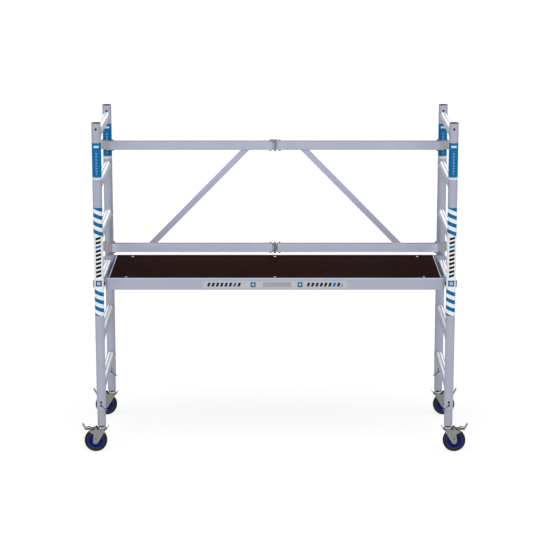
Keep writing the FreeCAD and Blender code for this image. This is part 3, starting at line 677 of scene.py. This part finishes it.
# ------------------------------------------------------------------ stickers
def wrapped_sticker(kind, post, body, heights, look):
    """A sticker round the front of a post, as a thin closed shell."""
    low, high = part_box(post)
    centre_x, centre_y = (low.x + high.x) / 2, (low.y + high.y) / 2
    inner = POST_R + STICKER_LIFT
    outer = inner + STICKER_THICK
    bottom, top = heights
    section = ((inner, bottom), (outer, bottom), (outer, top), (inner, top))
    rings = []
    for i in range(STICKER_STEPS + 1):
        turn = STICKER_HALF_ANGLE * (2 * i / STICKER_STEPS - 1)
        across, back = math.sin(turn), -math.cos(turn)
        rings.append([Vector((centre_x + r * across, centre_y + r * back, z)) for r, z in section])
    bm = bmesh.new()
    loft(bm, rings)
    add_piece(bm, f"{post}_{kind}", 40, body, look)


def dress_posts():
    """Every post has a blue band and a white line. The front ones also have a long striped band."""
    for side in SIDES:
        body = f"{side}_frame"
        for corner in CORNERS:
            post = f"{side}_{corner}_post"
            wrapped_sticker("blue_band", post, body, BLUE_BAND_Z, "blue_band")
            wrapped_sticker("white_line", post, body, WHITE_LINE_Z, "white")
            if corner == "front":
                wrapped_sticker("long_band", post, body, LONG_BAND_Z, "long_band")


def beam_plate():
    """The plate on the front beam, a thin box with rounded corners."""
    outline = []
    for i, (sx, sz) in enumerate(((1, 1), (-1, 1), (-1, -1), (1, -1))):
        centre_x = sx * (PLATE_X - PLATE_CORNER_R)
        centre_z = PLATE_Z[1] - PLATE_CORNER_R if sz > 0 else PLATE_Z[0] + PLATE_CORNER_R
        for k in range(PLATE_CORNER_STEPS + 1):
            turn = math.radians(90 * i + 90 * k / PLATE_CORNER_STEPS)
            x = centre_x + PLATE_CORNER_R * math.cos(turn)
            z = centre_z + PLATE_CORNER_R * math.sin(turn)
            outline.append((x, z))
    depth = (-BEAM_FACE_Y - STICKER_THICK, -BEAM_FACE_Y - STICKER_LIFT)
    bm = bmesh.new()
    loft(bm, [[Vector((x, y, z)) for x, z in outline] for y in depth])
    add_piece(bm, "front_beam_plate", 40, "platform", "plate")


# ------------------------------------------------------------------ platform trims
def beam_edges():
    """The rounded bead along the top edge of each side beam. The front one is paler: a painted highlight.
    """
    for side, sign, look in (("front", -1, "edge"), ("rear", 1, "beam")):
        outline = [(sign * (BEAM_FACE_Y + out), z) for out, z in BEAM_BEAD]
        bm = drawn_along_x(outline, BEAM_END_X)
        add_piece(bm, f"{side}_beam_edge", 35, "platform", look)


def deck_shadow_strips():
    """A black strip over the lip of each side beam, along the deck's edge: a painted shadow line between
    the deck and the beam.
    """
    for side, sign in (("front", -1), ("rear", 1)):
        bm = drawn_along_x([(sign * y, z) for y, z in DECK_SHADOW_STRIP], DECK_END_X)
        # painted shadow: a black strip where the deck meets each side beam
        add_piece(bm, f"{side}_deck_shadow_strip", 35, "platform", "cap")


def rivet_domes():
    """The low domed heads of the deck's six rivets."""
    bm = bmesh.new()
    for x in (-RIVET_X, 0, RIVET_X):
        for y in (-RIVET_Y, RIVET_Y):
            loft(bm, [[Vector((x + r * c, y + r * s, z)) for c, s in around(SMALL_STEPS)]
                      for r, z in RIVET_DOME])
    add_piece(bm, "deck_rivet_domes", 50, "platform", "rivet")


# ------------------------------------------------------------------ welds
def bead_radius(i, size):
    """The ripple of a weld bead, a little different from one drop to the next."""
    ripple = BEAD_RIPPLE * math.sin(i * math.tau / 4)
    return size * (1.0 + ripple + RANDOM.uniform(-BEAD_SPREAD, BEAD_SPREAD))


def saddle_bead(bm, x, y, z, inward):
    """A bead where a rung meets a post: inward is the way along Y from the post's axis."""
    reach = RUNG_R + BEAD_OFF_RUNG
    points = []
    for c, s in around(RUNG_BEAD_STEPS):
        out = reach * c
        back = math.sqrt((POST_R + BEAD_OFF_POST) ** 2 - out ** 2)
        points.append(Vector((x + out, y + inward * back, z + reach * s)))
    tube_along(bm, points, [bead_radius(i, RUNG_BEAD_R) for i in range(RUNG_BEAD_STEPS)])


def straight_bead(bm, start, end, size=BRACE_BEAD_R):
    """A bead with one ripple to each drop of metal, and at least a few of them."""
    start, end = Vector(start), Vector(end)
    count = max(6, int((end - start).length / DROP_PITCH))
    points = [start.lerp(end, i / (count - 1)) for i in range(count)]
    tube_along(bm, points, [bead_radius(i, size) for i in range(count)], closed=False)


def weld_frames():
    """The beads round both ends of each rung."""
    for side, x in (("left", -POST_X), ("right", POST_X)):
        bm = bmesh.new()
        for z in RUNG_ZS:
            saddle_bead(bm, x, -POST_Y, z, 1)
            saddle_bead(bm, x, POST_Y, z, -1)
        add_piece(bm, f"{side}_rung_welds", 60, f"{side}_frame", "weld")


def weld_braces():
    """Beads along the front and back of each diagonal's foot and head."""
    for side, sign in (("left", -1), ("right", 1)):
        low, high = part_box(f"{side}_diagonal_brace")
        near, far = sorted((abs(low.x), abs(high.x)))
        bm = bmesh.new()
        for z, outer in ((low.z, far), (high.z, near + BRACE_END_WIDE)):
            for y in (low.y, high.y):
                straight_bead(bm, (sign * outer, y, z), (sign * (outer - BRACE_END_WIDE), y, z))
        add_piece(bm, f"{side}_brace_welds", 60, f"{side}_panel", "weld")


def weld_platform():
    """Upright beads where the cross members meet the side beams, and the claws the beams."""
    bm = bmesh.new()
    for x, wide, low, high in DECK_MEMBERS + END_MEMBERS:
        left, right = x - wide / 2, x + wide / 2
        for y in (-MEMBER_END_Y, MEMBER_END_Y):
            for edge in (left, right):
                straight_bead(bm, (edge, y, low), (edge, y, high))
            straight_bead(bm, (left, y, low), (right, y, low))
    for x in (-BEAM_END_X, BEAM_END_X):
        for sy in (-1, 1):
            for y in CLAW_WELD_YS:
                straight_bead(bm, *((x, sy * y, z) for z in CLAW_WELD_Z), CLAW_BEAD_R)
    add_piece(bm, "platform_welds", 60, "platform", "weld")


# ------------------------------------------------------------------ wheels and casters
# Half of each section as (radius, along the axle), to be mirrored.
TYRE_HALF = [
    (0.0480, 0.0158), (0.0450, 0.0158), (0.0447, 0.0162), (0.0450, 0.0166), (0.0486, 0.0170),
    (0.0520, 0.0170), (0.0524, 0.0167), (0.0529, 0.0167), (0.0533, 0.0170), (0.0553, 0.0170),
    (0.0562, 0.0168), (0.0578, 0.0162), (0.0594, 0.0150), (0.0608, 0.0133), (0.0616, 0.0118),
    (0.0621, 0.0100), (0.0622, 0.0078), (0.0612, 0.0075), (0.0612, 0.0062), (0.0623, 0.0059),
    (0.0625, 0.0030),
]
HUB_HALF = [
    (0.00505, 0.0205), (0.0120, 0.0205), (0.0128, 0.0198), (0.0134, 0.0196), (0.0150, 0.0200),
    (0.0156, 0.0193), (0.0165, 0.0062), (0.0175, 0.0048), (0.0240, 0.0045), (0.0248, 0.0053),
    (0.0268, 0.0053), (0.0276, 0.0045), (0.0374, 0.0045), (0.0384, 0.0056), (0.0398, 0.0140),
    (0.0405, 0.0152), (0.0412, 0.0155), (0.0452, 0.0155), (0.0458, 0.0149), (0.0464, 0.0149),
    (0.0470, 0.0155), (0.0479, 0.0155),
]
RACE_CUP = [
    (0.0195, 0.1274), (0.0232, 0.1274), (0.0236, 0.1280), (0.0236, 0.1318), (0.0230, 0.1324),
    (0.0222, 0.1324), (0.0219, 0.1318), (0.0219, 0.1288), (0.0195, 0.1284),
]  # the whole section, as (radius, height)


def turned(half, centre):
    """Both halves of a section, turned round an axle along Y."""
    outline = half + [(r, -along) for r, along in reversed(half)]
    bm = bmesh.new()
    rings = [[centre + Vector((r * c, along, r * s)) for r, along in outline]
             for c, s in around(WHEEL_STEPS)]
    loft(bm, rings, closed=True)
    return bm


def hub_ribs(centre):
    """Tapered ribs between the boss and the rim, on both faces of the web."""
    bm = bmesh.new()
    foot, top = RIB_HALF_WIDE, RIB_HALF_WIDE * RIB_TAPER
    for i in range(RIBS):
        turn = math.tau * (i + 0.5) / RIBS
        out = Vector((math.cos(turn), 0, math.sin(turn)))
        side = Vector((-math.sin(turn), 0, math.cos(turn)))
        for face in (1, -1):
            rings = []
            for radius, high in RIB_PROFILE:
                section = [(-foot, RIB_ROOT), (foot, RIB_ROOT), (top, high), (-top, high)]
                rings.append([centre + out * radius + side * across + Vector((0, face * up, 0))
                              for across, up in section])
            loft(bm, rings)
    return bm


def dress_wheel(key, centre):
    """A tyre and a hub that stand for the CAD's, and the hub's ribs."""
    body = f"{key}_wheel"
    tyre = add_piece(turned(TYRE_HALF, centre), f"{key}_tyre_tread", 28, body, "tyre")
    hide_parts(f"{key}_tyre")
    hub = add_piece(turned(HUB_HALF, centre), f"{key}_hub_disc", 28, body, "hub")
    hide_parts(f"{key}_wheel_hub")
    add_piece(hub_ribs(centre), f"{key}_hub_ribs", 30, body, "hub")


def race_cup(key, x, y):
    """The swivel race's rolled cup."""
    bm = bmesh.new()
    rings = [[Vector((x + r * c, y + r * s, z)) for r, z in RACE_CUP] for c, s in around(CUP_STEPS)]
    loft(bm, rings, closed=True)
    add_piece(bm, f"{key}_race_cup", 30, f"{key}_caster", "zinc")


def brake_spring(key, x, y, out):
    """The pedal's torsion spring: a coil on each side, with a straight tail."""
    bm = bmesh.new()
    centre_x = x + out * SPRING_OUT
    for end in (-1, 1):
        points = []
        for i in range(SPRING_STEPS * SPRING_TURNS + 1):
            turn = math.tau * i / SPRING_STEPS
            reach = SPRING_START + SPRING_PITCH * i / SPRING_STEPS
            points.append(Vector((centre_x + out * SPRING_R * math.cos(turn), y + end * reach,
                                  SPRING_Z + SPRING_R * math.sin(turn))))
        points.append(points[-1] + Vector((out * SPRING_TAIL[0], 0, SPRING_TAIL[1])))
        tube_along(bm, points, [SPRING_WIRE_R] * len(points), closed=False)
    add_piece(bm, f"{key}_brake_spring", 60, f"{key}_brake", "spring")


def cheek_plugs(key, x, y):
    """A small bronze plug in the hole above the axle, on both cheeks."""
    bm = bmesh.new()
    for face in (-1, 1):
        loft(bm, [[Vector((x + r * c, y + face * out, PLUG_Z + r * s)) for c, s in around(SMALL_STEPS)]
                  for r, out in PLUG])
    add_piece(bm, f"{key}_cheek_plugs", 40, f"{key}_caster", "brass")


def dress_casters():
    for side, out in (("left", -1), ("right", 1)):
        for corner, y in (("front", -POST_Y), ("rear", POST_Y)):
            key = f"{side}_{corner}"
            wheel_x = out * (POST_X + TRAIL)
            dress_wheel(key, Vector((wheel_x, y, WHEEL_R)))
            race_cup(key, out * POST_X, y)
            brake_spring(key, out * POST_X, y, out)
            cheek_plugs(key, wheel_x, y)


# ------------------------------------------------------------------ camera, floor and light
def floor_paint():
    """White to look at. Bare metal mirrors its part behind the object as dim."""
    look = Look("studio_floor", Base_Color=(*FLOOR_GREY, 1), Roughness=0.8, Specular_IOR_Level=0.0,
                Emission_Color=(*WHITE, 1))
    far = look.ramp(look.axes()[1], 0.0, 1.0, *FAR_FLOOR_Y)
    mirrored = look.math("MULTIPLY", far, look.make("LightPath").outputs["Is Glossy Ray"])
    glow = look.ramp(mirrored, FLOOR_GLOW, FLOOR_GLOW_MIRRORED)
    look.tree.links.new(glow, look.shader.inputs["Emission Strength"])
    return look.material


def make_stage():
    mesh = bpy.data.meshes.new("floor")
    corners = [(sx * FLOOR_REACH, sy * FLOOR_REACH, 0) for sx, sy in ((-1, -1), (1, -1), (1, 1), (-1, 1))]
    mesh.from_pydata(corners, [], [(0, 1, 2, 3)])
    mesh.materials.append(floor_paint())
    add_to_scene("floor", mesh)


def make_world():
    """White to look at. As light it is brightest overhead, and dim low down at the back."""
    world = bpy.data.worlds.new("studio")
    bpy.context.scene.world = world
    world.use_nodes = True
    tree = world.node_tree
    place = add_node(tree, "TexCoord").outputs["Generated"]
    _, y, z = add_node(tree, "SeparateXYZ", {0: place}).outputs
    rising = add_node(tree, "ValToRGB", {"Fac": z})
    stops = rising.color_ramp.elements
    while len(stops) < len(SKY):
        stops.new(0.5)
    for stop, (height, level) in zip(stops, SKY):
        stop.position = height
        stop.color = (*(level * part for part in SKY_TINT), 1)
    start, end = SKY_TURNS_Y
    behind = add_node(tree, "MapRange", {"Value": y}, {"From Min": start, "From Max": end}, clamp=True)
    links = {0: behind.outputs["Result"], 7: rising.outputs["Color"]}
    tone = add_node(tree, "Mix", links, {6: (*FRONT_SKY, 1)}, data_type="RGBA")
    links = {0: add_node(tree, "LightPath").outputs["Is Camera Ray"], 6: tone.outputs[2]}
    tone = add_node(tree, "Mix", links, {7: (*WHITE, 1)}, data_type="RGBA")
    tree.links.new(tone.outputs[2], tree.nodes["Background"].inputs["Color"])


def add_sun(name, strength, width, heading, height):
    """A wide soft light. Heading is where it comes from, from the front, and height is over the horizon."""
    light = bpy.data.lights.new(name, "SUN")
    light.energy = strength
    light.angle = math.radians(width)
    h, e = math.radians(heading), math.radians(height)
    towards = Vector((math.sin(h) * math.cos(e), -math.cos(h) * math.cos(e), math.sin(e)))
    add_to_scene(name, light).rotation_euler = towards.to_track_quat("Z", "Y").to_euler()


def make_camera():
    lens = bpy.data.cameras.new("camera")
    lens.sensor_width = 36.0
    lens.lens = CAMERA_LENS
    lens.clip_end = 400.0
    made = add_to_scene("camera", lens)
    made.location = (0, -CAMERA_DISTANCE, CAMERA_HEIGHT)
    made.rotation_euler = (math.pi / 2 - CAMERA_PITCH, 0, 0)
    bpy.context.scene.camera = made


def make_studio():
    bpy.context.scene.view_settings.view_transform = "Standard"
    make_stage()
    make_world()
    add_sun("left_softbox", strength=0.7, width=30, heading=-40, height=62)
    add_sun("right_softbox", strength=0.6, width=30, heading=48, height=58)
    add_sun("front_softbox", strength=0.5, width=50, heading=0, height=32)
    make_camera()


make_studio()
dress_cad_nodes()
dress_posts()
beam_plate()
beam_edges()
deck_shadow_strips()
rivet_domes()
weld_frames()
weld_braces()
weld_platform()
dress_casters()
